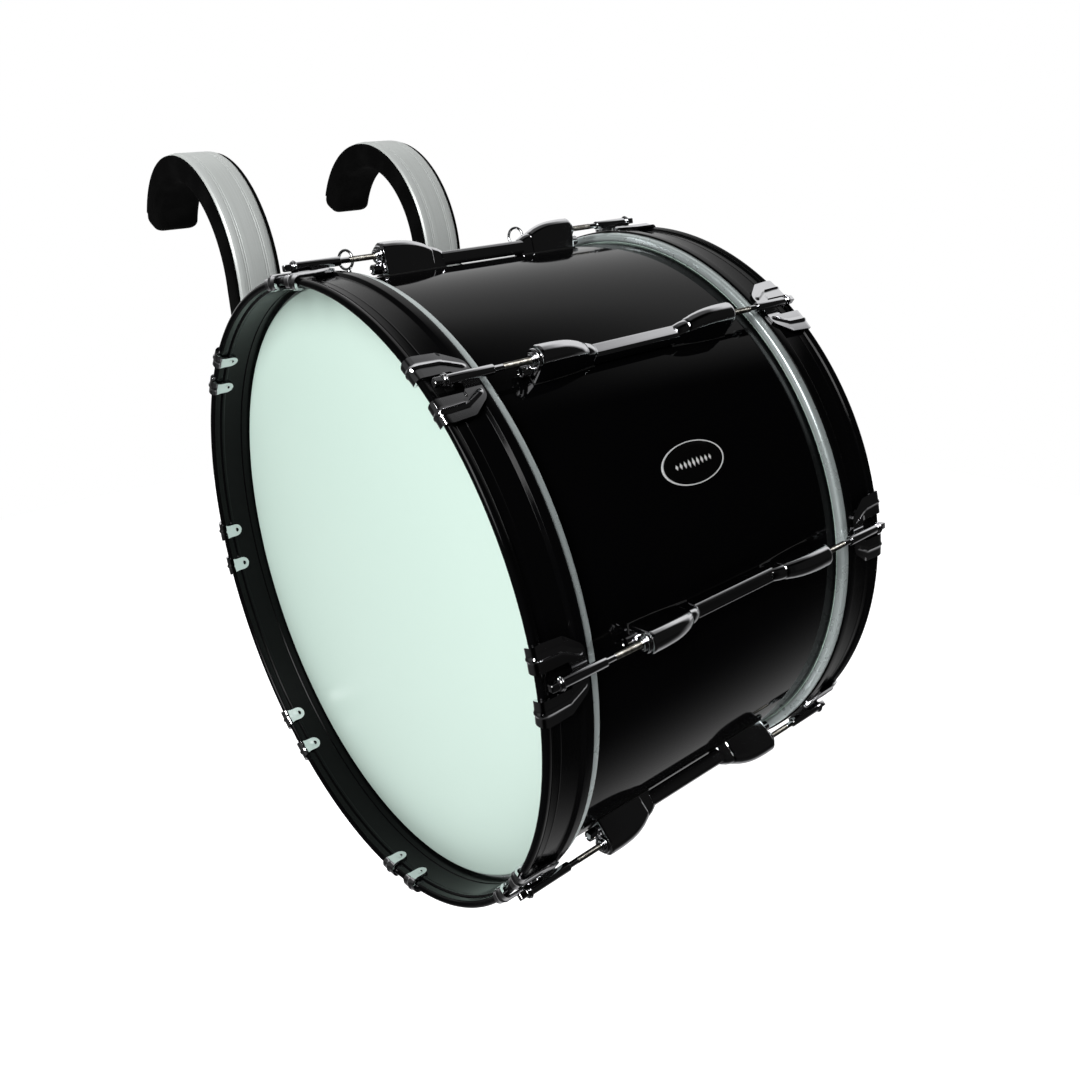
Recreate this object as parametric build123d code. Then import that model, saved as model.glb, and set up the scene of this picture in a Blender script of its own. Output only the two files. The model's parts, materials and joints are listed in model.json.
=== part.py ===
from build123d import *
import math
import os

# Marching bass drum with a shoulder carrier.  Millimetres, +Z up.
# The drum axis runs along X; the wearer stands on the +Y side and faces -Y.
# "right" is the wearer's right hand, which is -X.
# The model is drawn about the centre of the shell and moved at the very end, so that
# the origin of the finished part is the point midway between the two shoulder rests.

# ---------------------------------------------------------------- driving dimensions
SHELL_R = 304.8                 # 24 in shell
SHELL_WALL = 7.6
SHELL_DEPTH = 355.6             # 14 in deep
HOOP_OVERHANG = 42.0            # counterhoop front edge beyond the bearing edge
LUG_COUNT = 8
FIRST_LUG_ANGLE = 35.0          # measured from straight up towards the front
BADGE_ANGLE = 57.5
VENT_ANGLE = 192.5
EYEBOLT_ANGLE = -25.0

HOOP_CROWN_R = 317.0
HOOP_WEB_R = 313.5
HOOP_INNER_R = 308.3
HOOP_WIDTH = 51.0
HOOP_SEAT = 46.5                # depth at which the counterhoop presses on the flesh hoop
FLESH_HOOP_R = 315.0
FLESH_HOOP_INNER_R = 305.7
FLESH_HOOP_END = 59.0
HEAD_FILM = 0.5

ROD_R = 324.5                   # tension rods' distance from the drum axis
ROD_THREAD_R = 3.0
ROD_SHANK_R = 2.8
KEY_SQUARE = 6.35
NUT_BORE_R = 3.05

LUG_FACE_DEPTH = 103.0          # all depths are measured behind the counterhoop's front edge
LUG_BODY_LENGTH = 55.0
LUG_LENGTH = 68.0
LUG_GASKET = 1.0
LUG_BAR_HALF = 7.2
LUG_BAR_TOP = 15.2              # height over the shell
LUG_BAR_BEVEL = 2.4
LUG_SCREW_OFFSETS = (13.0, 44.0)

CLAW_SHEET = 2.5
CLAW_TUBE_R = 4.5
CLAW_TUBE_START = 15.5
CLAW_TUBE_END = 60.0
CLAW_HALF_WIDTH = 34.5
CLAW_GAP_HALF = 11.0
CLAW_LENGTH = 46.0

EYEBOLT_X = 109.5
EYE_CENTRE_R = 334.5
EYE_OUTER_R = 11.2
EYE_INNER_R = 8.2

BAR_X = 127.0                   # shoulder bars' spacing from the middle
BAR_WIDTH = 48.5
BAR_THICK = 5.0
BAR_FRONT_Y = 326.0
BAR_BOTTOM_Z = -15.0
ARCH_CENTRE_Y = 466.0
ARCH_CENTRE_Z = 252.0
ARCH_SWEEP = 154.0
PAD_THICK = 29.0
PAD_WIDTH = 58.0
PAD_LIP = 3.0                   # the foam's edges rise this far beside the bar
PAD_BOTTOM_Z = 160.0
PAD_SWEEP = 162.0

SADDLE_Z = 66.0
SADDLE_HEIGHT = 76.0
SADDLE_WALL = 7.5
SADDLE_REAR_WALL = 4.0
SLIDE_GAP = 0.35
SADDLE_GASKET = 1.5
SADDLE_BOLT_ANGLES = (-72.0, -83.0)
SADDLE_BOLT_X = (112.0, 142.0)
CLAMP_R = 4.0
CLAMP_BORE_R = 4.05

SPACER_LENGTH = 6.0
PLATE_THICK = 4.0
PLATE_HALF_WIDTH = 154.0
PLATE_BOTTOM_Z = -12.0
PLATE_TOP_Z = 155.0
PLATE_BOLT_Z = (-4.0, 140.0)
BELLY_PAD_THICK = 20.0

# ---------------------------------------------------------------- derived places
SHELL_INNER_R = SHELL_R - SHELL_WALL
HALF_SHELL = SHELL_DEPTH / 2
FRONT = -(HALF_SHELL + HOOP_OVERHANG)       # X of the right counterhoop's front edge
BAR_BACK_Y = BAR_FRONT_Y + BAR_THICK
ARCH_R = ARCH_CENTRE_Y - BAR_FRONT_Y
PLATE_FRONT_Y = BAR_BACK_Y + SPACER_LENGTH
PLATE_BACK_Y = PLATE_FRONT_Y + PLATE_THICK
LUG_ANGLES = [FIRST_LUG_ANGLE + i * 360 / LUG_COUNT for i in range(LUG_COUNT)]
SHOULDER_REST = (0, ARCH_CENTRE_Y, ARCH_CENTRE_Z + ARCH_R - BAR_THICK - PAD_THICK)


# ---------------------------------------------------------------- helpers
def depth(distance):
    """X of a place that far behind the right counterhoop's front edge."""
    return FRONT + distance


def around(shape, angle):
    """Turn a shape drawn at the top of the drum about the drum axis, towards the front."""
    return Rot(angle, 0, 0) * shape


def left_end(shape):
    """The same piece on the left end of the drum."""
    return Rot(0, 0, 180) * shape


def revolved(points_and_arcs):
    """Ring about the drum axis from a closed profile of (x, radius) lines and arcs."""
    profile = make_face(Wire(points_and_arcs))
    return revolve(profile, Axis.X)


def closed_lines(points):
    return [Line(a, b) for a, b in zip(points, points[1:] + points[:1])]


def rod(x_start, x_end, radius, height=0.0):
    """Cylinder along X."""
    length = x_end - x_start
    return Pos(x_start + length / 2, 0, height) * Rot(0, 90, 0) * Cylinder(radius, length)


def post(z_start, z_end, radius, x=0.0):
    """Cylinder along Z, at the top of the drum."""
    length = z_end - z_start
    return Pos(x, 0, z_start + length / 2) * Cylinder(radius, length)


def hexagon_nut(z_start, z_end, across_flats, bore_r, x=0.0):
    outline = RegularPolygon(across_flats / 2, 6, major_radius=False) - Circle(bore_r)
    return Pos(x, 0, z_start) * extrude(outline, z_end - z_start)


def pipe(inner_r, outer_r, half_length=HALF_SHELL):
    """Hollow cylinder about the drum axis."""
    return rod(-half_length, half_length, outer_r) - rod(-half_length - 1, half_length + 1, inner_r)


def box_between(low, high):
    size = [b - a for a, b in zip(low, high)]
    middle = [(a + b) / 2 for a, b in zip(low, high)]
    return Pos(*middle) * Box(*size)


def in_part_frame(shape):
    return Pos(*[-value for value in SHOULDER_REST]) * shape


# ---------------------------------------------------------------- shell, heads and hoops
def shell():
    corner = 1.9
    edge_r = SHELL_R - 1.8
    outline = closed_lines([
        (-HALF_SHELL, edge_r - 0.6),
        (-HALF_SHELL, SHELL_R - corner),
        (-HALF_SHELL + corner, SHELL_R),
        (HALF_SHELL - corner, SHELL_R),
        (HALF_SHELL, SHELL_R - corner),
        (HALF_SHELL, edge_r - 0.6),
        (HALF_SHELL - 5.2, SHELL_INNER_R),
        (-HALF_SHELL + 5.2, SHELL_INNER_R),
    ])
    body = revolved(outline)
    for angle in LUG_ANGLES:
        for offset in LUG_SCREW_OFFSETS:
            x = depth(LUG_FACE_DEPTH + offset)
            for place in (x, -x):
                body -= around(post(280, 320, 2.7, place), angle)
    for x in (-EYEBOLT_X, EYEBOLT_X):
        body -= around(post(280, 320, 3.2, x), EYEBOLT_ANGLE)
    body -= around(post(280, 320, 6.0), VENT_ANGLE)
    for angle in SADDLE_BOLT_ANGLES:
        for x in SADDLE_BOLT_X:
            for place in (x, -x):
                body -= around(post(280, 320, 4.3, place), angle)
    return body


def head():
    """Film stretched over the bearing edge, with its collar down the outside of the shell."""
    collar_r = FLESH_HOOP_INNER_R - 0.1
    turn_r = 2.5
    inner_turn = turn_r - HEAD_FILM
    front = -HALF_SHELL - HEAD_FILM
    turn_x = front + turn_r
    skirt = depth(FLESH_HOOP_END - 2)
    diagonal = math.sin(math.radians(45))
    centre_r = collar_r - turn_r
    flat_r = centre_r - 5
    collar = revolved([
        Line((front, flat_r), (front, centre_r)),
        ThreePointArc(
            (front, centre_r),
            (turn_x - turn_r * diagonal, centre_r + turn_r * diagonal),
            (turn_x, collar_r),
        ),
        Line((turn_x, collar_r), (skirt, collar_r)),
        Line((skirt, collar_r), (skirt, collar_r - HEAD_FILM)),
        Line((skirt, collar_r - HEAD_FILM), (turn_x, collar_r - HEAD_FILM)),
        ThreePointArc(
            (turn_x, collar_r - HEAD_FILM),
            (turn_x - inner_turn * diagonal, centre_r + inner_turn * diagonal),
            (-HALF_SHELL, centre_r),
        ),
        Line((-HALF_SHELL, centre_r), (-HALF_SHELL, flat_r)),
        Line((-HALF_SHELL, flat_r), (front, flat_r)),
    ])
    return rod(front, -HALF_SHELL, flat_r) + collar


def flesh_hoop():
    """Aluminium ring that holds the head's edge; its rear 8 mm shows behind the counterhoop."""
    start = depth(HOOP_SEAT)
    end = depth(FLESH_HOOP_END)
    edge = 1.2
    return revolved(closed_lines([
        (start, FLESH_HOOP_INNER_R),
        (start, FLESH_HOOP_R),
        (end - edge, FLESH_HOOP_R),
        (end, FLESH_HOOP_R - edge),
        (end, FLESH_HOOP_INNER_R),
    ]))


def counterhoop():
    """Pressed hoop: rolled front bead, flat web, raised rear bead over a seat for the head."""
    bead_inner_r = 309.5
    bead_r = (HOOP_CROWN_R - bead_inner_r) / 2
    bead_mid = bead_inner_r + bead_r
    skirt_r = FLESH_HOOP_R + 0.3
    outline = [
        ThreePointArc(
            (depth(bead_r), bead_inner_r), (depth(0), bead_mid), (depth(bead_r), HOOP_CROWN_R)
        )
    ]
    corners = [
        (depth(bead_r), HOOP_CROWN_R),
        (depth(8.5), HOOP_CROWN_R),
        (depth(10.2), HOOP_WEB_R),
        (depth(39), HOOP_WEB_R),
        (depth(40.5), HOOP_CROWN_R - 0.6),
        (depth(42), HOOP_CROWN_R),
        (depth(49.5), HOOP_CROWN_R),
        (depth(HOOP_WIDTH), HOOP_CROWN_R - 0.9),
        (depth(HOOP_WIDTH), skirt_r),
        (depth(HOOP_SEAT), skirt_r),
        (depth(HOOP_SEAT), HOOP_INNER_R),
        (depth(11), HOOP_INNER_R),
        (depth(9.5), bead_inner_r),
        (depth(bead_r), bead_inner_r),
    ]
    outline += [Line(a, b) for a, b in zip(corners, corners[1:])]
    return revolved(outline)


# ---------------------------------------------------------------- lugs
def arch_section(x, half_base, top, top_r):
    """Rounded arch across the drum axis: flat foot, straight flanks, round ridge."""
    foot = -4.0
    centre = top - top_r
    reach = math.hypot(half_base, foot - centre)
    to_corner = math.atan2(foot - centre, half_base)
    tangent = to_corner + math.acos(top_r / reach)
    side = top_r * math.cos(tangent)
    side_height = centre + top_r * math.sin(tangent)
    wire = Wire([
        Line((-half_base, foot), (half_base, foot)),
        Line((half_base, foot), (side, side_height)),
        ThreePointArc((side, side_height), (0, top), (-side, side_height)),
        Line((-side, side_height), (-half_base, foot)),
    ])
    section_plane = Plane(origin=(x, 0, SHELL_R), x_dir=(0, 1, 0), z_dir=(1, 0, 0))
    return section_plane * make_face(wire)


def lug_cavity():
    """Hollow on the underside of a casting, 3 to 4 mm inside its outer shape."""
    face = depth(LUG_FACE_DEPTH)
    return loft([
        arch_section(face + 4, 7.6, 28.5, 6.6),
        arch_section(face + 29, 7.2, 27.0, 6.0),
        arch_section(face + 50, 5.4, 19.5, 4.0),
    ])


def lug_bosses():
    """Solid places inside the hollow: round the nut, and over each screw."""
    face = depth(LUG_FACE_DEPTH)
    bosses = rod(face, face + 34, 7.5, ROD_R)
    for offset in LUG_SCREW_OFFSETS:
        bosses += post(SHELL_R - 4, SHELL_R + 30, 5.5, face + offset)
    return bosses


def lug_casting():
    """One tapering end of a lug, at the top of the drum, face towards the right hoop."""
    face = depth(LUG_FACE_DEPTH)
    body = loft([
        arch_section(face, 11.2, 32.0, 10.0),
        arch_section(face + 29, 10.6, 30.6, 9.6),
        arch_section(face + LUG_BODY_LENGTH, 8.8, 22.5, 7.4),
    ])
    collar = loft([
        arch_section(face + LUG_BODY_LENGTH, 8.3, 21.5, 6.9),
        arch_section(face + LUG_LENGTH, 7.7, 17.0, 6.0),
    ])
    rod_boss = rod(face - 3, face + 12, 9.5, ROD_R)
    foot_boss = rod(face - 11, face + 2, 5.2, SHELL_R + 7)
    return body - lug_cavity() + (lug_bosses() & body) + collar + rod_boss + foot_boss


def lug():
    """Full-length lug: two castings joined by a bevelled bar that runs close over the shell."""
    casting = lug_casting()
    bar_end = depth(LUG_FACE_DEPTH + LUG_LENGTH - 4)
    section = Plane(origin=(bar_end, 0, SHELL_R), x_dir=(0, 1, 0), z_dir=(1, 0, 0)) * make_face(
        Wire(closed_lines([
            (-LUG_BAR_HALF, -LUG_GASKET),
            (LUG_BAR_HALF, -LUG_GASKET),
            (LUG_BAR_HALF, LUG_BAR_TOP - LUG_BAR_BEVEL),
            (LUG_BAR_HALF - LUG_BAR_BEVEL, LUG_BAR_TOP),
            (-LUG_BAR_HALF + LUG_BAR_BEVEL, LUG_BAR_TOP),
            (-LUG_BAR_HALF, LUG_BAR_TOP - LUG_BAR_BEVEL),
        ]))
    )
    bar = extrude(section, amount=-2 * bar_end, dir=(1, 0, 0))
    piece = casting + left_end(casting) + bar
    piece -= rod(-160, 160, SHELL_R + LUG_GASKET)
    face = depth(LUG_FACE_DEPTH)
    nut_bore = rod(face - 4, face + 24, 5.1, ROD_R) + rod(face + 20, face + 32, 3.6, ROD_R)
    piece -= nut_bore
    piece -= left_end(nut_bore)
    for offset in LUG_SCREW_OFFSETS:
        for x in (face + offset, -face - offset):
            piece -= post(300, 316, 2.25, x)
    return piece


def lug_gasket():
    """Thin pad between one casting and the shell."""
    face = depth(LUG_FACE_DEPTH)
    outline = make_face(Wire(closed_lines([
        (face - 0.5, -11.6),
        (face + 29, -11.0),
        (face + LUG_LENGTH + 0.5, -8.2),
        (face + LUG_LENGTH + 0.5, 8.2),
        (face + 29, 11.0),
        (face - 0.5, 11.6),
    ])))
    prism = Pos(0, 0, SHELL_R - 10) * extrude(outline, 20)
    for offset in LUG_SCREW_OFFSETS:
        prism -= post(SHELL_R - 20, SHELL_R + 20, 2.7, face + offset)
    return prism & pipe(SHELL_R, SHELL_R + LUG_GASKET)


def lug_screw(x):
    return post(292.4, 296.0, 4.4, x) + post(295, 315, 2.2, x)


def lug_washer(x):
    return post(296.0, 297.0, 6.0, x) - post(290, 300, 2.5, x)


def swivel_nut():
    """Flanged threaded barrel in a lug's face."""
    face = depth(LUG_FACE_DEPTH)
    body = rod(face - 5.5, face - 3, 6.6, ROD_R) + rod(face - 3, face + 20, 5.0, ROD_R)
    return body - rod(face - 8, face + 24, NUT_BORE_R, ROD_R)


# ---------------------------------------------------------------- claws and tension rods
def claw_finger():
    """Strip that wraps the hoop's front bead and ends in a tongue inside the hoop."""
    gap = 0.3
    outside = HOOP_CROWN_R + gap + CLAW_SHEET
    inside = HOOP_CROWN_R + gap
    tongue_top = HOOP_INNER_R - gap
    tongue_bottom = tongue_top - 2.3
    nose = depth(-gap - CLAW_SHEET)
    outline = closed_lines([
        (depth(14), inside),
        (depth(14), outside),
        (depth(1.5), outside),
        (nose + 0.9, outside - 1.6),
        (nose, outside - 4.5),
        (nose, tongue_bottom + 4),
        (nose + 1.2, tongue_bottom + 1.2),
        (depth(1.6), tongue_bottom),
        (depth(20), tongue_bottom),
        (depth(20), tongue_top),
        (depth(2.4), tongue_top),
        (depth(0.5), tongue_top + 1.2),
        (depth(-gap), tongue_top + 3.2),
        (depth(-gap), inside - 3.4),
        (depth(0.4), inside - 1.2),
        (depth(2.2), inside),
    ])
    width = math.degrees((CLAW_HALF_WIDTH - CLAW_GAP_HALF) / inside)
    start = math.degrees(CLAW_GAP_HALF / inside)
    strip = revolve(make_face(Wire(outline)), Axis.X, revolution_arc=width)
    return Rot(90 + start, 0, 0) * strip


def claw():
    """Stamped claw: two fingers, a chamfered base plate and a sleeve for the tension rod."""
    shoulder = 27.0
    rear_half = 21.0
    half = CLAW_HALF_WIDTH
    outline = make_face(Wire(closed_lines([
        (depth(6), -half),
        (depth(shoulder), -half + 1.5),
        (depth(CLAW_LENGTH - 1), -rear_half),
        (depth(CLAW_LENGTH), -rear_half + 8),
        (depth(CLAW_LENGTH), rear_half - 8),
        (depth(CLAW_LENGTH - 1), rear_half),
        (depth(shoulder), half - 1.5),
        (depth(6), half),
        (depth(6), CLAW_GAP_HALF),
        (depth(26), CLAW_GAP_HALF - 1),
        (depth(28.5), CLAW_GAP_HALF - 4),
        (depth(28.5), -CLAW_GAP_HALF + 4),
        (depth(26), -CLAW_GAP_HALF + 1),
        (depth(6), -CLAW_GAP_HALF),
    ])))
    inside = HOOP_CROWN_R + 0.3
    prism = Pos(0, 0, inside - 15) * extrude(outline, 30)
    plate = prism & pipe(inside, inside + CLAW_SHEET, half_length=-FRONT + 5)
    finger = claw_finger()
    other_finger = mirror(finger, about=Plane.XZ)
    tube = rod(depth(CLAW_TUBE_START), depth(CLAW_TUBE_END), CLAW_TUBE_R, ROD_R)
    web = box_between((depth(29.5), -3.2, inside + 1), (depth(CLAW_LENGTH), 3.2, ROD_R - 2))
    bore = rod(depth(CLAW_TUBE_START - 1), depth(CLAW_TUBE_END + 1), ROD_THREAD_R + 0.4, ROD_R)
    return plate + finger + other_finger + tube + web - bore


def tension_rod():
    """Square-headed key rod: collar, plain shank and a threaded end in the lug's nut."""
    key = box_between(
        (depth(3.9), -KEY_SQUARE / 2, ROD_R - KEY_SQUARE / 2),
        (depth(12.4), KEY_SQUARE / 2, ROD_R + KEY_SQUARE / 2),
    )
    collar = rod(depth(12.2), depth(14.0), 5.6, ROD_R)
    shank = rod(depth(14.0), depth(70), ROD_SHANK_R, ROD_R)
    thread = rod(depth(70), depth(130), ROD_THREAD_R, ROD_R)
    return key + collar + shank + thread


def rod_washer():
    ring = rod(depth(14.05), depth(CLAW_TUBE_START - 0.05), 6.3, ROD_R)
    return ring - rod(depth(10), depth(20), ROD_THREAD_R + 0.2, ROD_R)


# ---------------------------------------------------------------- shell fittings
def badge():
    """Plain oval plate that follows the shell."""
    plate = Pos(0, 0, SHELL_R - 12) * extrude(Ellipse(38, 19.5), 24)
    return plate & pipe(SHELL_R, SHELL_R + 1.1)


def air_vent():
    flange = post(SHELL_R, SHELL_R + 1.6, 9.0)
    barrel = post(SHELL_INNER_R - 1.5, SHELL_R + 0.5, 5.9)
    return flange + barrel - post(280, 320, 4.0)


def eyebolt(x):
    """Eye on a collared stud; the eye's plane stands nearly along the drum's girth."""
    eye = Circle(EYE_OUTER_R) - Circle(EYE_INNER_R)
    ring = extrude(Plane.YZ * eye, 1.5, both=True)
    ring = chamfer(ring.edges(), 0.8)
    ring = Pos(x, 0, EYE_CENTRE_R) * Rot(0, 0, 20) * ring
    neck = post(SHELL_R + 3, EYE_CENTRE_R - EYE_INNER_R - 1.2, 2.6, x)
    flange = post(SHELL_R, SHELL_R + 3.2, 8.0, x)
    stud = post(289, SHELL_R + 1, 3.0, x)
    return ring + neck + flange + stud


def eyebolt_nut(x):
    washer = post(295.6, 297.0, 9.0, x) - post(280, 300, 3.05, x)
    return hexagon_nut(290.4, 295.6, 10.0, 3.05, x) + washer


# ---------------------------------------------------------------- carrier
def bar_section(y_front, y_back, width, edge):
    """Section across a shoulder bar or its pad, on a level plane, centred on X = 0."""
    half = width / 2
    return make_face(Wire(closed_lines([
        (-half, y_front + edge),
        (-half + edge, y_front),
        (half - edge, y_front),
        (half, y_front + edge),
        (half, y_back - edge),
        (half - edge, y_back),
        (-half + edge, y_back),
        (-half, y_back - edge),
    ])))


def arched(section, bottom_z, sweep):
    """Upright run of a section that then bends back over the shoulder."""
    upright = Pos(0, 0, bottom_z) * extrude(section, ARCH_CENTRE_Z - bottom_z)
    arch_axis = Axis((0, ARCH_CENTRE_Y, ARCH_CENTRE_Z), (-1, 0, 0))
    arch = revolve(Pos(0, 0, ARCH_CENTRE_Z) * section, arch_axis, revolution_arc=sweep)
    return upright + arch


def shoulder_bar(side):
    bar = arched(bar_section(BAR_FRONT_Y, BAR_BACK_Y, BAR_WIDTH, 1.2), BAR_BOTTOM_Z, ARCH_SWEEP)
    for z in PLATE_BOLT_Z:
        bar -= Pos(0, BAR_FRONT_Y, z) * Rot(90, 0, 0) * Cylinder(3.2, 30)
    return Pos(side * BAR_X, 0, 0) * bar


def shoulder_pad(side):
    """Foam strip that the bar lies in; its end closes over the end of the bar."""
    back = BAR_BACK_Y + PAD_THICK
    foam = bar_section(BAR_BACK_Y - PAD_LIP, back, PAD_WIDTH, 4.5)
    channel = bar_section(BAR_FRONT_Y, BAR_BACK_Y, BAR_WIDTH, 0.05)
    strip = arched(foam - channel, PAD_BOTTOM_Z, PAD_SWEEP)
    arch_axis = Axis((0, ARCH_CENTRE_Y, ARCH_CENTRE_Z), (-1, 0, 0))
    cap_section = Pos(0, 0, ARCH_CENTRE_Z) * bar_section(BAR_FRONT_Y, back, PAD_WIDTH, 4.5)
    cap = revolve(cap_section, arch_axis, revolution_arc=PAD_SWEEP - ARCH_SWEEP - 0.5)
    about_arch = Pos(0, ARCH_CENTRE_Y, ARCH_CENTRE_Z)
    cap = about_arch * Rot(-ARCH_SWEEP - 0.5, 0, 0) * about_arch.inverse() * cap
    return Pos(side * BAR_X, 0, 0) * (strip + cap)


def upright_plane(y, z):
    """Plane across the drum's back: its own X is the part's X and its own Y points up."""
    return Plane(origin=(0, y, z), x_dir=(1, 0, 0), z_dir=(0, -1, 0))


def belly_plate():
    width = 2 * PLATE_HALF_WIDTH
    height = PLATE_TOP_Z - PLATE_BOTTOM_Z
    middle = (PLATE_TOP_Z + PLATE_BOTTOM_Z) / 2
    outline = upright_plane(PLATE_FRONT_Y, middle) * RectangleRounded(width, height, 22)
    plate = extrude(outline, PLATE_THICK, dir=(0, 1, 0))
    for x in (-BAR_X, BAR_X):
        for z in PLATE_BOLT_Z:
            plate -= Pos(x, PLATE_FRONT_Y, z) * Rot(90, 0, 0) * Cylinder(3.2, 30)
            plate -= Pos(x, PLATE_BACK_Y - 1.5, z) * Rot(-90, 0, 0) * Cone(3.2, 6.4, 3.2)
    return plate


def belly_pad():
    width = 2 * PLATE_HALF_WIDTH + 6
    height = PLATE_TOP_Z - PLATE_BOTTOM_Z + 4
    middle = (PLATE_TOP_Z + PLATE_BOTTOM_Z) / 2
    outline = upright_plane(PLATE_BACK_Y, middle) * RectangleRounded(width, height, 24)
    pad = extrude(outline, BELLY_PAD_THICK, dir=(0, 1, 0))
    return chamfer(pad.faces().sort_by(Axis.Y)[-1].edges(), 6)


def plate_joints():
    """Places of the four bolts that hold the belly plate to the shoulder bars."""
    return [(x, z) for x in (-BAR_X, BAR_X) for z in PLATE_BOLT_Z]


def y_post(x, y_start, y_end, z, radius):
    length = y_end - y_start
    return Pos(x, y_start + length / 2, z) * Rot(90, 0, 0) * Cylinder(radius, length)


def plate_spacer(x, z):
    return y_post(x, BAR_BACK_Y, PLATE_FRONT_Y, z, 8.0) - y_post(x, 300, 360, z, 3.2)


def plate_bolt(x, z):
    cone = Pos(x, PLATE_BACK_Y - 1.7, z) * Rot(-90, 0, 0) * Cone(3.0, 6.2, 3.2)
    return y_post(x, BAR_FRONT_Y - 6, PLATE_BACK_Y - 1, z, 3.0) + cone


def plate_nut(x, z):
    outline = RegularPolygon(5.0, 6, major_radius=False) - Circle(3.05)
    return Pos(x, BAR_FRONT_Y, z) * Rot(90, 0, 0) * extrude(outline, 5.0)


def saddle(side):
    """Block on the back of the shell with a tunnel that the shoulder bar slides through."""
    half = BAR_WIDTH / 2 + SLIDE_GAP + SADDLE_WALL
    top = SADDLE_Z + SADDLE_HEIGHT / 2
    bottom = SADDLE_Z - SADDLE_HEIGHT / 2
    back = BAR_BACK_Y + SLIDE_GAP + SADDLE_REAR_WALL
    outline = Plane.YZ * make_face(Wire(closed_lines([
        (280, bottom - 8),
        (306, bottom - 8),
        (316, bottom),
        (back - 2, bottom),
        (back, bottom + 2),
        (back, top - 2),
        (back - 2, top),
        (312, top),
        (298, top + 8),
        (280, top + 8),
    ])))
    block = extrude(outline, half, both=True)
    block -= rod(-half - 5, half + 5, SHELL_R + SADDLE_GASKET)
    tunnel_half = BAR_WIDTH / 2 + SLIDE_GAP
    block -= box_between(
        (-tunnel_half, BAR_FRONT_Y - SLIDE_GAP, bottom - 20),
        (tunnel_half, BAR_BACK_Y + SLIDE_GAP, top + 20),
    )
    block -= Pos(0, (BAR_FRONT_Y + BAR_BACK_Y) / 2, SADDLE_Z) * rod(tunnel_half - 1, half + 5, CLAMP_BORE_R)
    if side < 0:
        block = mirror(block, about=Plane.YZ)
    block = Pos(side * BAR_X, 0, 0) * block
    for angle in SADDLE_BOLT_ANGLES:
        for x in SADDLE_BOLT_X:
            block -= around(post(296, 320.5, 4.0, side * x), angle)
    return block


def saddle_outline(side, grow, low_r, high_r):
    """Curved sheet with the saddle's footprint, between two radii."""
    half = BAR_WIDTH / 2 + SLIDE_GAP + SADDLE_WALL + grow
    tall = SADDLE_HEIGHT / 2 + 8 + grow
    prism = box_between((-half, 200, SADDLE_Z - tall), (half, 340, SADDLE_Z + tall))
    sheet = (Pos(side * BAR_X, 0, 0) * prism) & pipe(low_r, high_r)
    for angle in SADDLE_BOLT_ANGLES:
        for x in SADDLE_BOLT_X:
            sheet -= around(post(280, 320, 4.3, side * x), angle)
    return sheet


def saddle_bolt(x, angle):
    head = Pos(x, 0, 289.0) * extrude(RegularPolygon(6.5, 6, major_radius=False), 5.0)
    return around(head + post(293, 320, 3.95, x), angle)


def clamp_screw(side):
    """Wing screw that presses on the bar's outer edge and locks the drum's height."""
    tip = BAR_WIDTH / 2 + SLIDE_GAP + 0.05
    wall_end = BAR_WIDTH / 2 + SLIDE_GAP + SADDLE_WALL
    screw = rod(tip, wall_end + 3, CLAMP_R) + rod(wall_end + 0.6, wall_end + 10, 6.0)
    wings = box_between((wall_end + 3, -1.6, -13), (wall_end + 12, 1.6, 13))
    wings -= box_between((wall_end + 9, -3, -5), (wall_end + 14, 3, 5))
    screw = Pos(0, (BAR_FRONT_Y + BAR_BACK_Y) / 2, SADDLE_Z) * (screw + wings)
    if side < 0:
        screw = mirror(screw, about=Plane.YZ)
    return Pos(side * BAR_X, 0, 0) * screw


# ---------------------------------------------------------------- the nodes
def end_pieces(piece):
    """One copy at each lug angle on the right end, then the same on the left end."""
    right = [around(piece, angle) for angle in LUG_ANGLES]
    left = [around(left_end(piece), angle) for angle in LUG_ANGLES]
    return right, left


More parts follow.
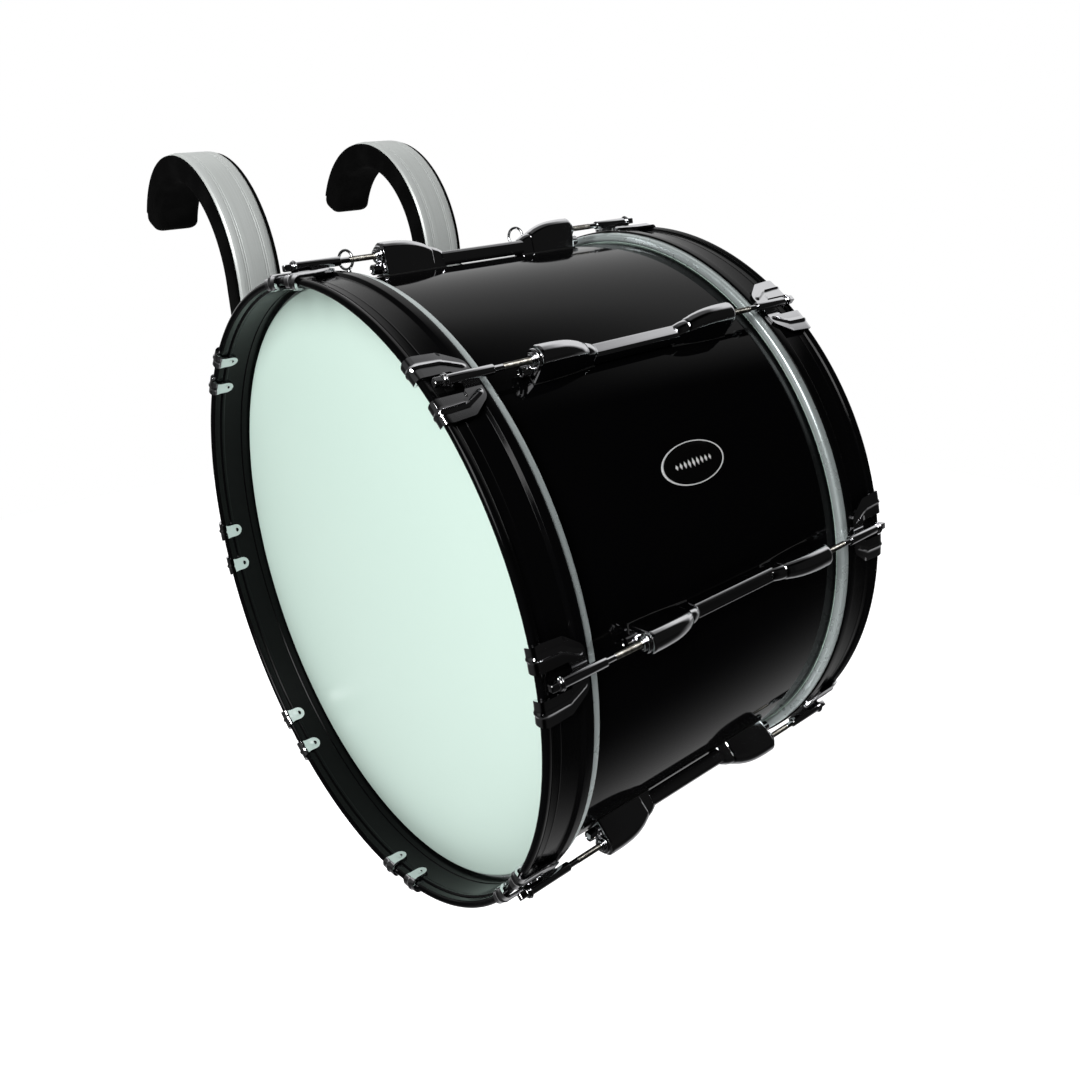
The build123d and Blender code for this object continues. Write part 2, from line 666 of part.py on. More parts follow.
def all_nodes():
    nodes = {"shell": shell()}

    for name, piece in (("head", head()), ("flesh_hoop", flesh_hoop()), ("counterhoop", counterhoop())):
        nodes[name + "_right"] = piece
        nodes[name + "_left"] = left_end(piece)

    one_lug = lug()
    for number, angle in enumerate(LUG_ANGLES, start=1):
        nodes[f"lug_{number}"] = around(one_lug, angle)

    right_rods, left_rods = end_pieces(tension_rod())
    for number in range(LUG_COUNT):
        nodes[f"tension_rod_right_{number + 1}"] = right_rods[number]
        nodes[f"tension_rod_left_{number + 1}"] = left_rods[number]

    right_claws, left_claws = end_pieces(claw())
    nodes["claws_right"] = right_claws
    nodes["claws_left"] = left_claws

    for name, piece in (
        ("lug_gaskets", lug_gasket()),
        ("swivel_nuts", swivel_nut()),
        ("rod_washers", rod_washer()),
    ):
        right, left = end_pieces(piece)
        nodes[name] = right + left

    screw_places = [depth(LUG_FACE_DEPTH + offset) for offset in LUG_SCREW_OFFSETS]
    screw_places += [-x for x in screw_places]
    nodes["lug_screws"] = [around(lug_screw(x), a) for a in LUG_ANGLES for x in screw_places]
    nodes["lug_screw_washers"] = [around(lug_washer(x), a) for a in LUG_ANGLES for x in screw_places]

    nodes["badge"] = around(badge(), BADGE_ANGLE)
    nodes["air_vent"] = around(air_vent(), VENT_ANGLE)
    eye_places = (-EYEBOLT_X, EYEBOLT_X)
    nodes["eyebolts"] = [around(eyebolt(x), EYEBOLT_ANGLE) for x in eye_places]
    nodes["eyebolt_nuts"] = [around(eyebolt_nut(x), EYEBOLT_ANGLE) for x in eye_places]

    for name, side in (("right", -1), ("left", 1)):
        nodes[f"saddle_{name}"] = saddle(side)
        nodes[f"clamp_screw_{name}"] = clamp_screw(side)
        nodes[f"shoulder_bar_{name}"] = shoulder_bar(side)
        nodes[f"shoulder_pad_{name}"] = shoulder_pad(side)
    nodes["saddle_gaskets"] = [
        saddle_outline(side, 0.0, SHELL_R, SHELL_R + SADDLE_GASKET) for side in (-1, 1)
    ]
    nodes["backing_plates"] = [
        saddle_outline(side, 2.0, SHELL_INNER_R - 3, SHELL_INNER_R) for side in (-1, 1)
    ]
    nodes["saddle_bolts"] = [
        saddle_bolt(side * x, angle)
        for side in (-1, 1)
        for x in SADDLE_BOLT_X
        for angle in SADDLE_BOLT_ANGLES
    ]

    nodes["belly_plate"] = belly_plate()
    nodes["belly_pad"] = belly_pad()
    nodes["plate_spacers"] = [plate_spacer(x, z) for x, z in plate_joints()]
    nodes["plate_bolts"] = [plate_bolt(x, z) for x, z in plate_joints()]
    nodes["plate_nuts"] = [plate_nut(x, z) for x, z in plate_joints()]
    return nodes


os.makedirs("parts", exist_ok=True)
for node_name, node_shape in all_nodes().items():
    pieces = node_shape if isinstance(node_shape, list) else [node_shape]
    solids = [solid for piece in pieces for solid in in_part_frame(piece).solids()]
    shape = solids[0] if len(solids) == 1 else Compound(children=solids)
    export_step(shape, f"parts/{node_name}.step")
    print(node_name, len(solids))
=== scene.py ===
import json
import math

import bmesh
import bpy
import numpy as np
from mathutils import Matrix, Vector


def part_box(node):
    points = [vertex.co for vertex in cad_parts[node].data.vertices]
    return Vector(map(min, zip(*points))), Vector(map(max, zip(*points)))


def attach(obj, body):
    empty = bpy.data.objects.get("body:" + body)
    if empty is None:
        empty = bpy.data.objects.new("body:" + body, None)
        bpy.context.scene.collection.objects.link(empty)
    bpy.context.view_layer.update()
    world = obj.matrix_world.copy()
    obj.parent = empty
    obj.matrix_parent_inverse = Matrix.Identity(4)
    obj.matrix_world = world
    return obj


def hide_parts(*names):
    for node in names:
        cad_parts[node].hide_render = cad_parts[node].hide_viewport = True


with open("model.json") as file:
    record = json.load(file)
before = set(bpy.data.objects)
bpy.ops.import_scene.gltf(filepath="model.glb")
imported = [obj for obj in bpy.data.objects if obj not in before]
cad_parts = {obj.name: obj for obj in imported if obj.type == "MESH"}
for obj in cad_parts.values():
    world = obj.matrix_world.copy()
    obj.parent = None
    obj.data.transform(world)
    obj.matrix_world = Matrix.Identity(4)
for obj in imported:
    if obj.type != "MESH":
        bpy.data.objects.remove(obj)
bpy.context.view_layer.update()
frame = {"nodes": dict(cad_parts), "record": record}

# Looks of a marching bass drum on its shoulder carrier.
# Shapes are written in millimetres about the centre of the drum's shell, with the drum axis
# along X.  What repeats round the drum is drawn once, at its top and right end.
# turned_to() and PLACE put the shapes into the frame.

MM = 0.001
shell_low, shell_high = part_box("shell")
DRUM_CENTRE = (shell_low + shell_high) / 2
PLACE = Matrix.Translation(DRUM_CENTRE)

# ---------------------------------------------------------------- sizes, in millimetres
SHELL_R = 304.8
SHELL_WALL = 7.5
HALF_SHELL = 177.8
FRONT = -219.8                   # X of the right counterhoop's front edge
LUG_ANGLES = [35.0 + 45.0 * i for i in range(8)]
BADGE_ANGLE = 57.5
VENT_ANGLE = 192.5
EYEBOLT_ANGLE = -25.0
EYEBOLT_X = 109.5

CROWN_R = 317.0
WEB_R = 313.5
HOOP_INNER_R = 308.3
FLESH_R = 315.0
ROD_R = 324.5
LUG_FACE = 103.0                 # depths are measured behind the counterhoop's front edge

BAR_X = 127.0
BAR_WIDTH = 48.5
BAR_THICK = 5.0
BAR_FRONT_Y = 326.0
BAR_BOTTOM_Z = -15.0
ARCH_Y = 466.0
ARCH_Z = 252.0
ARCH_SWEEP = 154.0
PAD_THICK = 29.0
PAD_WIDTH = 58.0
PAD_LIP = 3.0
PAD_BOTTOM_Z = 160.0
PAD_SWEEP = 162.0


def depth(distance):
    """X of a place that far behind the right counterhoop's front edge."""
    return FRONT + distance


# ---------------------------------------------------------------- camera, light and floor
def make_camera():
    """Camera in front of the drum's right end, a little above it and looking down."""
    camera = bpy.data.cameras.new("camera")
    camera.lens = 33.99
    camera.sensor_width = 36.0
    camera.shift_x = -0.0727
    camera.shift_y = -0.0666
    camera.clip_end = 60.0
    position = DRUM_CENTRE + Vector((-611.4, -836.7, 496.0)) * MM
    forward = Vector((0.6214, 0.6892, -0.3728)).normalized()
    right = Vector((0.7417, -0.6707, -0.0036)).normalized()
    up = right.cross(forward)
    turn = Matrix((right, up, -forward)).transposed().to_4x4()
    holder = bpy.data.objects.new("camera", camera)
    holder.matrix_world = Matrix.Translation(position) @ turn
    bpy.context.scene.collection.objects.link(holder)
    bpy.context.scene.camera = holder


def make_world():
    """Studio seen in the gloss: white backdrop behind the drum, dim ceiling and floor, dark front."""
    world = bpy.data.worlds.new("studio")
    bpy.context.scene.world = world
    world.use_nodes = True
    nodes, links = world.node_tree.nodes, world.node_tree.links
    nodes.clear()
    direction = nodes.new("ShaderNodeTexCoord").outputs["Generated"]
    split = nodes.new("ShaderNodeSeparateXYZ")
    links.new(direction, split.inputs[0])
    toward_left, toward_back, upward = split.outputs

    def ramp(source, low, high, start, end):
        node = nodes.new("ShaderNodeMapRange")
        node.interpolation_type = "SMOOTHSTEP"
        links.new(source, node.inputs["Value"])
        for key, value in zip(("From Min", "From Max", "To Min", "To Max"), (low, high, start, end)):
            node.inputs[key].default_value = value
        return node.outputs[0]

    def combine(operation, *values):
        result = values[0]
        for value in values[1:]:
            node = nodes.new("ShaderNodeMath")
            node.operation = operation
            links.new(result, node.inputs[0])
            links.new(value, node.inputs[1])
            result = node.outputs[0]
        return result

    ceiling_glow = 0.10
    above = combine(
        "MULTIPLY",
        ramp(toward_back, -0.30, 0.0, 0.01, 1.0),
        ramp(upward, 0.66, 0.88, 1.0, ceiling_glow),
        ramp(toward_left, -0.45, 0.15, 0.06, 1.0),
        ramp(upward, -0.24, -0.06, 0.0, 1.0),
    )
    below = combine(
        "MULTIPLY",
        ramp(upward, -0.80, -0.12, 0.5, 0.2),
        ramp(toward_back, -0.60, 0.05, 0.03, 1.0),
        ramp(toward_left, -0.45, 0.15, 0.08, 1.0),
        ramp(upward, -0.24, -0.06, 1.0, 0.0),
    )
    lit = nodes.new("ShaderNodeBackground")
    links.new(combine("ADD", above, below), lit.inputs["Strength"])
    plain = nodes.new("ShaderNodeBackground")
    plain.inputs["Color"].default_value = (1, 1, 1, 1)
    seen = nodes.new("ShaderNodeLightPath")
    mix = nodes.new("ShaderNodeMixShader")
    links.new(seen.outputs["Is Camera Ray"], mix.inputs[0])
    links.new(lit.outputs[0], mix.inputs[1])
    links.new(plain.outputs[0], mix.inputs[2])
    output = nodes.new("ShaderNodeOutputWorld")
    links.new(mix.outputs[0], output.inputs[0])


def make_stage():
    """Pale floor, as far below the shoulder rests as a standing wearer's feet."""
    standing_height = 1.45
    bpy.ops.mesh.primitive_circle_add(
        vertices=96, radius=3.2, fill_type="NGON", location=(0, -0.4, -standing_height)
    )
    floor = bpy.context.object
    floor.name = "floor"
    floor.visible_glossy = False
    floor.data.materials.append(floor_material())


def make_light():
    """One large softbox, high on the right in front of the drum and facing it."""
    from_drum = Vector((-2.3, -1.15, 1.9))
    light = bpy.data.lights.new("key", "AREA")
    light.size = 1.6
    light.energy = 90
    holder = bpy.data.objects.new("key", light)
    aim = (-from_drum).to_track_quat("-Z", "Y").to_matrix().to_4x4()
    holder.matrix_world = Matrix.Translation(DRUM_CENTRE + from_drum) @ aim
    bpy.context.scene.collection.objects.link(holder)


# ---------------------------------------------------------------- materials
class Shader:
    """Principled material with short ways to add procedural detail in object space."""

    def __init__(self, name, **sockets):
        self.material = bpy.data.materials.new(name)
        self.material.use_nodes = True
        self.tree = self.material.node_tree
        self.surface = self.tree.nodes["Principled BSDF"]
        for key, value in sockets.items():
            socket = self.surface.inputs[key.replace("_", " ")]
            socket.default_value = (*value, 1.0) if isinstance(value, tuple) else value
        coordinates = self.tree.nodes.new("ShaderNodeTexCoord")
        self.place = coordinates.outputs["Object"]

    def stretched(self, scale):
        node = self.tree.nodes.new("ShaderNodeMapping")
        node.inputs["Scale"].default_value = scale
        self.tree.links.new(self.place, node.inputs["Vector"])
        return node.outputs[0]

    def noise(self, scale, detail=3.0, roughness=0.5, vector=None):
        node = self.tree.nodes.new("ShaderNodeTexNoise")
        node.inputs["Scale"].default_value = scale
        node.inputs["Detail"].default_value = detail
        node.inputs["Roughness"].default_value = roughness
        self.tree.links.new(vector or self.place, node.inputs["Vector"])
        return node.outputs["Fac"]

    def ranged(self, source, low, high, start=0.35, end=0.65):
        node = self.tree.nodes.new("ShaderNodeMapRange")
        self.tree.links.new(source, node.inputs["Value"])
        node.inputs["From Min"].default_value = start
        node.inputs["From Max"].default_value = end
        node.inputs["To Min"].default_value = low
        node.inputs["To Max"].default_value = high
        return node.outputs[0]

    def blend(self, factor, first, second):
        node = self.tree.nodes.new("ShaderNodeMix")
        node.data_type = "RGBA"
        node.inputs[6].default_value = (*first, 1.0)
        node.inputs[7].default_value = (*second, 1.0)
        self.tree.links.new(factor, node.inputs[0])
        return node.outputs[2]

    def to(self, source, socket):
        self.tree.links.new(source, self.surface.inputs[socket])

    def bump(self, source, strength, distance):
        node = self.tree.nodes.new("ShaderNodeBump")
        node.inputs["Strength"].default_value = strength
        node.inputs["Distance"].default_value = distance
        self.tree.links.new(source, node.inputs["Height"])
        self.tree.links.new(node.outputs[0], self.surface.inputs["Normal"])


def floor_material():
    glow = {"Emission_Color": (1.0, 1.0, 1.0), "Emission_Strength": 1.1}
    return Shader("studio_floor", Base_Color=(0.9, 0.9, 0.9), Roughness=0.9, **glow).material


def gloss_lacquer():
    """Deep black lacquer: faint flow marks in the gloss and a slight ripple."""
    black = (0.0015, 0.0015, 0.0017)
    paint = Shader("gloss_lacquer", Base_Color=black, Roughness=0.05, Specular_IOR_Level=0.10)
    paint.to(paint.ranged(paint.noise(9.0, 4.0), 0.035, 0.085), "Roughness")
    paint.bump(paint.noise(70.0, 2.0), 0.05, 0.0002)
    return paint.material


def hoop_paint():
    """Black enamel over a steel hoop, a little softer than the shell's lacquer."""
    black = (0.002, 0.002, 0.0022)
    paint = Shader("hoop_paint", Base_Color=black, Roughness=0.12, Specular_IOR_Level=0.10)
    paint.to(paint.ranged(paint.noise(30.0, 4.0), 0.08, 0.2), "Roughness")
    paint.bump(paint.noise(260.0, 2.0), 0.05, 0.0001)
    return paint.material


def drumhead_film():
    """Pale film with a faint cloudiness and a soft sheen."""
    film = Shader("drumhead_film", Base_Color=(0.68, 0.85, 0.77), Roughness=0.28)
    cloud = film.ranged(film.noise(2.0, 1.0), 0, 1, 0.0, 1.0)
    film.to(film.blend(cloud, (0.66, 0.845, 0.755), (0.70, 0.865, 0.785)), "Base Color")
    film.to(film.ranged(film.noise(6.0, 2.0), 0.26, 0.34, 0.0, 1.0), "Roughness")
    film.bump(film.noise(900.0, 2.0), 0.03, 0.0001)
    return film.material


def bare_aluminium():
    metal = Shader("bare_aluminium", Base_Color=(0.60, 0.67, 0.665), Metallic=0.5, Roughness=0.3)
    metal.to(metal.ranged(metal.noise(60.0, 5.0), 0.24, 0.4), "Roughness")
    metal.bump(metal.noise(700.0, 3.0), 0.08, 0.0001)
    return metal.material


def black_chrome():
    """Dark mirror plating with a slight orange-peel ripple."""
    metal = Shader("black_chrome", Base_Color=(0.75, 0.75, 0.77), Metallic=1.0, Roughness=0.08)
    metal.to(metal.ranged(metal.noise(40.0, 4.0), 0.04, 0.12), "Roughness")
    metal.bump(metal.noise(160.0, 2.0), 0.05, 0.0002)
    return metal.material


def bright_chrome():
    metal = Shader("bright_chrome", Base_Color=(0.66, 0.67, 0.68), Metallic=1.0, Roughness=0.07)
    metal.to(metal.ranged(metal.noise(50.0, 4.0), 0.04, 0.12), "Roughness")
    return metal.material


def thread_steel():
    metal = Shader("thread_steel", Base_Color=(0.30, 0.29, 0.26), Metallic=1.0, Roughness=0.34)
    grease = metal.ranged(metal.noise(220.0, 4.0), 0, 1)
    metal.to(metal.blend(grease, (0.16, 0.15, 0.13), (0.42, 0.41, 0.37)), "Base Color")
    return metal.material


def zinc_steel():
    metal = Shader("zinc_steel", Base_Color=(0.5, 0.52, 0.54), Metallic=1.0, Roughness=0.32)
    patches = metal.ranged(metal.noise(90.0, 5.0), 0, 1)
    metal.to(metal.blend(patches, (0.42, 0.44, 0.45), (0.6, 0.61, 0.6)), "Base Color")
    metal.to(metal.ranged(metal.noise(140.0, 4.0), 0.24, 0.42), "Roughness")
    return metal.material


def brushed_aluminium():
    """Satin extrusion with fine lines along the bars' length, which runs in the YZ plane."""
    metal = Shader("brushed_aluminium", Base_Color=(0.84, 0.88, 0.86), Metallic=0.25, Roughness=0.45)
    lines = metal.noise(1.0, 5.0, 0.6, metal.stretched((1900.0, 7.0, 7.0)))
    shade = metal.blend(metal.ranged(lines, 0, 1), (0.80, 0.84, 0.815), (0.88, 0.92, 0.90))
    metal.to(shade, "Base Color")
    metal.to(metal.ranged(lines, 0.38, 0.54), "Roughness")
    metal.bump(lines, 0.15, 0.0001)
    return metal.material


def black_anodised():
    metal = Shader("black_anodised", Base_Color=(0.02, 0.02, 0.022), Metallic=0.6, Roughness=0.38)
    metal.to(metal.ranged(metal.noise(120.0, 5.0), 0.3, 0.48), "Roughness")
    metal.bump(metal.noise(900.0, 2.0), 0.1, 0.0001)
    return metal.material


def black_rubber():
    rubber = Shader("black_rubber", Base_Color=(0.008, 0.008, 0.008), Roughness=0.75)
    rubber.bump(rubber.noise(800.0, 3.0), 0.2, 0.0002)
    return rubber.material


def foam_skin():
    """Closed-cell foam: matt, with a fine pitted skin and faint scuffs."""
    black = (0.002, 0.002, 0.002)
    foam = Shader("foam_skin", Base_Color=black, Roughness=0.85, Specular_IOR_Level=0.06)
    scuffs = foam.ranged(foam.noise(28.0, 6.0), 0, 1, 0.45, 0.75)
    foam.to(foam.blend(scuffs, (0.0015, 0.0015, 0.0015), (0.004, 0.004, 0.004)), "Base Color")
    foam.bump(foam.noise(1300.0, 2.0), 0.3, 0.0003)
    return foam.material


def pad_vinyl():
    """Grained cover of the belly pad, a little shinier than bare foam."""
    vinyl = Shader("pad_vinyl", Base_Color=(0.014, 0.014, 0.015), Roughness=0.5)
    grain = vinyl.noise(520.0, 3.0)
    vinyl.to(vinyl.ranged(vinyl.noise(24.0, 4.0), 0.42, 0.6), "Roughness")
    vinyl.bump(grain, 0.3, 0.0003)
    return vinyl.material


def badge_enamel():
    enamel = Shader("badge_enamel", Base_Color=(0.002, 0.002, 0.002), Roughness=0.12)
    enamel.to(enamel.ranged(enamel.noise(80.0, 3.0), 0.1, 0.18), "Roughness")
    return enamel.material


def badge_silver():
    metal = Shader("badge_silver", Base_Color=(0.85, 0.86, 0.86), Metallic=0.2, Roughness=0.35)
    metal.to(metal.ranged(metal.noise(200.0, 3.0), 0.28, 0.45), "Roughness")
    return metal.material


MATERIALS = {
    "black_shell": gloss_lacquer(),
    "black_hoop": hoop_paint(),
    "head_film": drumhead_film(),
    "bare_aluminium": bare_aluminium(),
    "black_chrome": black_chrome(),
    "chrome_steel": bright_chrome(),
    "zinc_steel": zinc_steel(),
    "brushed_aluminium": brushed_aluminium(),
    "black_aluminium": black_anodised(),
    "black_rubber": black_rubber(),
    "black_foam": foam_skin(),
    "badge_plate": badge_enamel(),
}


THREAD_MATERIAL = thread_steel()
BADGE_SILVER = badge_silver()
BELLY_COVER = pad_vinyl()


def finish_cad_nodes():
    """Give every carried-over CAD node the material of its slot."""
    slots = {part["node"]: part["material_slot"] for part in frame["record"]["subparts"]}
    for name, node in frame["nodes"].items():
        node.data.materials.clear()
        node.data.materials.append(MATERIALS[slots[name]])


# ---------------------------------------------------------------- mesh tools
def turned_to(angle, left=False, x=0.0):
    """Where a piece drawn at the top of the drum goes: round to an angle, on the right or left end."""
    end_turn = Matrix.Rotation(math.pi if left else 0.0, 4, "Z")
    shift = Matrix.Translation((x * MM, 0, 0))
    return PLACE @ Matrix.Rotation(math.radians(angle), 4, "X") @ shift @ end_turn


def rounded(points, radius, steps=4):
    """Closed outline with each corner replaced by an arc of at most that radius."""
    outline = []
    for number, corner in enumerate(points):
        here = np.array(corner, float)
        back = np.array(points[number - 1], float) - here
        ahead = np.array(points[(number + 1) % len(points)], float) - here
        room = min(np.linalg.norm(back), np.linalg.norm(ahead)) * 0.48
        back /= np.linalg.norm(back)
        ahead /= np.linalg.norm(ahead)
        half_angle = math.acos(np.clip(back @ ahead, -1, 1)) / 2
        if half_angle > 1.54:
            outline.append(tuple(here))
            continue
        reach = min(radius / math.tan(half_angle), room)
        arc_r = reach * math.tan(half_angle)
        middle = here + (back + ahead) / np.linalg.norm(back + ahead) * arc_r / math.sin(half_angle)
        start, end = here + back * reach - middle, here + ahead * reach - middle
        sweep = math.pi - 2 * half_angle
        for step in range(steps + 1):
            share = step / steps
            spot = math.sin((1 - share) * sweep) * start + math.sin(share * sweep) * end
            outline.append(tuple(middle + spot / math.sin(sweep)))
    return outline


def make_mesh(name, points, faces, smooth_angle=35.0):
    """Mesh in metres from points in millimetres, with coincident points joined."""
    mesh = bpy.data.meshes.new(name)
    mesh.from_pydata([tuple(float(v) for v in p) for p in points], [], faces)
    work = bmesh.new()
    work.from_mesh(mesh)
    bmesh.ops.remove_doubles(work, verts=work.verts, dist=1e-4)
    bmesh.ops.recalc_face_normals(work, faces=work.faces)
    work.to_mesh(mesh)
    work.free()
    mesh.transform(Matrix.Scale(MM, 4))
    mesh.shade_smooth()
    mesh.set_sharp_from_angle(angle=math.radians(smooth_angle))
    return mesh


def joined(*shapes):
    """Several (points, faces) shapes as one."""
    points, faces = [], []
    for shape_points, shape_faces in shapes:
        start = len(points)
        points += [tuple(p) for p in shape_points]
        faces += [tuple(start + i for i in face) for face in shape_faces]
    return points, faces


def mirrored(shape):
    """The same shape on the other side of the XZ plane."""
    points, faces = shape
    return [(p[0], -p[1], p[2]) for p in points], [tuple(reversed(face)) for face in faces]


def turned_end(shape):
    """The same shape on the other end of the drum."""
    points, faces = shape
    return [(-p[0], -p[1], p[2]) for p in points], faces


def grid_faces(rows, columns, close_rows=False, close_columns=False):
    faces = []
    for row in range(rows if close_rows else rows - 1):
        for column in range(columns if close_columns else columns - 1):
            after_row, after_column = (row + 1) % rows, (column + 1) % columns
            faces.append((
                row * columns + column,
                row * columns + after_column,
                after_row * columns + after_column,
                after_row * columns + column,
            ))
    return faces


def ring(profile, segments=48, height=0.0):
    """A closed (x, radius) profile turned about an axis along X at that height."""
    points = []
    for step in range(segments):
        angle = 2 * math.pi * step / segments
        points += [(x, r * math.sin(angle), height + r * math.cos(angle)) for x, r in profile]
    return points, grid_faces(segments, len(profile), True, True)


def turned(profile, segments=48, height=0.0):
    """An open (x, radius) profile that starts and ends on the axis, turned about it."""
    points, _ = ring(profile, segments, height)
    return points, grid_faces(segments, len(profile), True, False)


def bar_x(outline, start, end):
    """A (y, z) outline drawn out along X, with flat ends."""
    count = len(outline)
    points = [(start, y, z) for y, z in outline] + [(end, y, z) for y, z in outline]
    return points, [
        *grid_faces(2, count, False, True),
        tuple(range(count)),
        tuple(reversed(range(count, 2 * count))),
    ]


def add_piece(name, mesh, slot, body, place=PLACE, replaced=()):
    piece = bpy.data.objects.new(name, mesh)
    piece.matrix_world = place
    bpy.context.scene.collection.objects.link(piece)
    if not mesh.materials:
        mesh.materials.append(MATERIALS[slot])
    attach(piece, body)
    if replaced:
        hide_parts(*replaced)
    return piece


# ---------------------------------------------------------------- shell, heads and hoops
ROUND = 360                      # facets round the drum


def shell_shape():
    outline = rounded([
        (-HALF_SHELL, SHELL_R - 2.6),
        (-HALF_SHELL, SHELL_R - 0.8),
        (-HALF_SHELL + 2, SHELL_R),
        (HALF_SHELL - 2, SHELL_R),
        (HALF_SHELL, SHELL_R - 0.8),
        (HALF_SHELL, SHELL_R - 2.6),
        (HALF_SHELL - 5.2, SHELL_R - SHELL_WALL),
        (-HALF_SHELL + 5.2, SHELL_R - SHELL_WALL),
    ], 0.8)
    return ring(outline, ROUND)


def head_shape():
    """Film: flat playing area, a soft shoulder over the bearing edge and a straight collar."""
    front = -HALF_SHELL - 0.5
    collar_r = 305.6
    skirt = depth(57.0)
    outline = [(front, 0.0)]
    outline += [(front, r) for r in (60.0, 120.0, 180.0, 240.0, 290.0, 300.0)]
    turn_r = 2.5
    for step in range(9):
        angle = math.radians(90 * step / 8)
        outline.append((
            front + turn_r * (1 - math.cos(angle)),
            collar_r - turn_r * (1 - math.sin(angle)),
        ))
    outline += [(skirt, collar_r), (skirt, collar_r - 0.5), (front + turn_r, collar_r - 0.5)]
    outline += [(front + 0.5, 300.0), (front + 0.5, 0.0)]
    return turned(outline, ROUND)


def flesh_hoop_shape():
    front, rear, inner = depth(46.5), depth(59.0), 305.7
    outline = rounded([(front, inner), (front, FLESH_R), (rear, FLESH_R), (rear, inner)], 3.2, 5)
    return ring(outline, ROUND)


def counterhoop_shape():
    """Rolled front bead, a step down to the web, a shallow fold line and a raised rear bead."""
    bead_inner = 309.5
    bead_r = (CROWN_R - bead_inner) / 2
    outline = []
    for step in range(13):
        angle = math.radians(-90 - 180 * step / 12)
        outline.append((
            depth(bead_r) + bead_r * math.cos(angle),
            bead_inner + bead_r + bead_r * math.sin(angle),
        ))
    outline += rounded([
        (depth(7.6), CROWN_R),
        (depth(9.6), WEB_R),
        (depth(17.0), WEB_R),
        (depth(17.8), WEB_R + 0.35),
        (depth(18.6), WEB_R),
        (depth(38.6), WEB_R),
        (depth(41.2), CROWN_R),
        (depth(49.6), CROWN_R),
        (depth(51.0), CROWN_R - 1.2),
        (depth(51.0), 315.3),
        (depth(46.5), 315.3),
        (depth(46.5), HOOP_INNER_R),
        (depth(34.0), HOOP_INNER_R),
        (depth(33.0), HOOP_INNER_R + 0.7),
        (depth(14.0), HOOP_INNER_R + 0.7),
        (depth(12.6), HOOP_INNER_R),
        (depth(10.6), HOOP_INNER_R),
        (depth(9.0), 309.6),
    ], 1.1)
    return ring(outline, ROUND)


def make_drum_body():
    shell = make_mesh("shell_lacquered", *shell_shape())
    add_piece("shell_lacquered", shell, "black_shell", "drum", replaced=["shell"])
    for name, shape, slot in (
        ("head", head_shape(), "head_film"),
        ("flesh_hoop", flesh_hoop_shape(), "bare_aluminium"),
        ("counterhoop", counterhoop_shape(), "black_hoop"),
    ):
        mesh = make_mesh(name, *shape)
        for side in ("right", "left"):
            piece_name = f"{name}_{side}_finished"
            place = turned_to(0, side == "left")
            add_piece(piece_name, mesh, slot, "drum", place, [f"{name}_{side}"])


# ---------------------------------------------------------------- claws
CLAW_REAR = 46.0
CLAW_HALF = 34.5
CLAW_GAP = 11.0                  # half width of the gap between the fingers
CLAW_GAP_END = 28.0
CLAW_SHEET = 2.3
CLAW_TOP = CROWN_R + 0.3 + CLAW_SHEET
RIB_LINE = [(-6.0, 22.8), (9.0, 22.8), (25.0, 21.8), (41.0, 13.9)]
RIB_HEIGHT = 1.3
RIB_HALF = 2.6


def rib_rise(distance_back, across):
    """Height of the pressed rib: a rounded ridge along a bent line."""
    spot = np.array((distance_back, abs(across)))
    nearest = 1e9
    for a, b in zip(RIB_LINE, RIB_LINE[1:]):
        start, run = np.array(a), np.array(b) - np.array(a)
        share = np.clip((spot - start) @ run / (run @ run), 0, 1)
        nearest = min(nearest, float(np.linalg.norm(spot - start - run * share)))
    share = max(0.0, 1 - nearest / RIB_HALF)
    return RIB_HEIGHT * share * share * (3 - 2 * share)


def wing_edge(distance_back):
    """Half width of the claw's plate at that depth."""
    places = (-4.0, 6.0, 27.0, 44.5, 46.0)
    widths = (CLAW_HALF - 1.5, CLAW_HALF, CLAW_HALF - 1.5, 21.5, 19.8)
    return float(np.interp(distance_back, places, widths))


def finger_path():
    """Outer skin of a finger in (x, radius): over the bead, round its nose and back inside."""
    inside = HOOP_INNER_R - 0.3 - CLAW_SHEET
    nose = -0.3 - CLAW_SHEET
    outline = rounded([
        (CLAW_GAP_END, CLAW_TOP),
        (nose, CLAW_TOP),
        (nose, inside),
        (20.0, inside),
        (24.0, 240.0),
    ], 5.6, 8)
    start = next(i for i, p in enumerate(outline) if p[0] < 12 and p[1] > 310)
    end = next(i for i, p in enumerate(outline) if i > start and p[0] > 2.4 and p[1] < 310)
    plate = [(d, CLAW_TOP) for d in np.linspace(CLAW_GAP_END, 5.0, 15)]
    wrap = outline[start:end + 1]
    tongue = [(d, inside) for d in np.linspace(4.6, 20.0, 15)]
    return plate, wrap, tongue


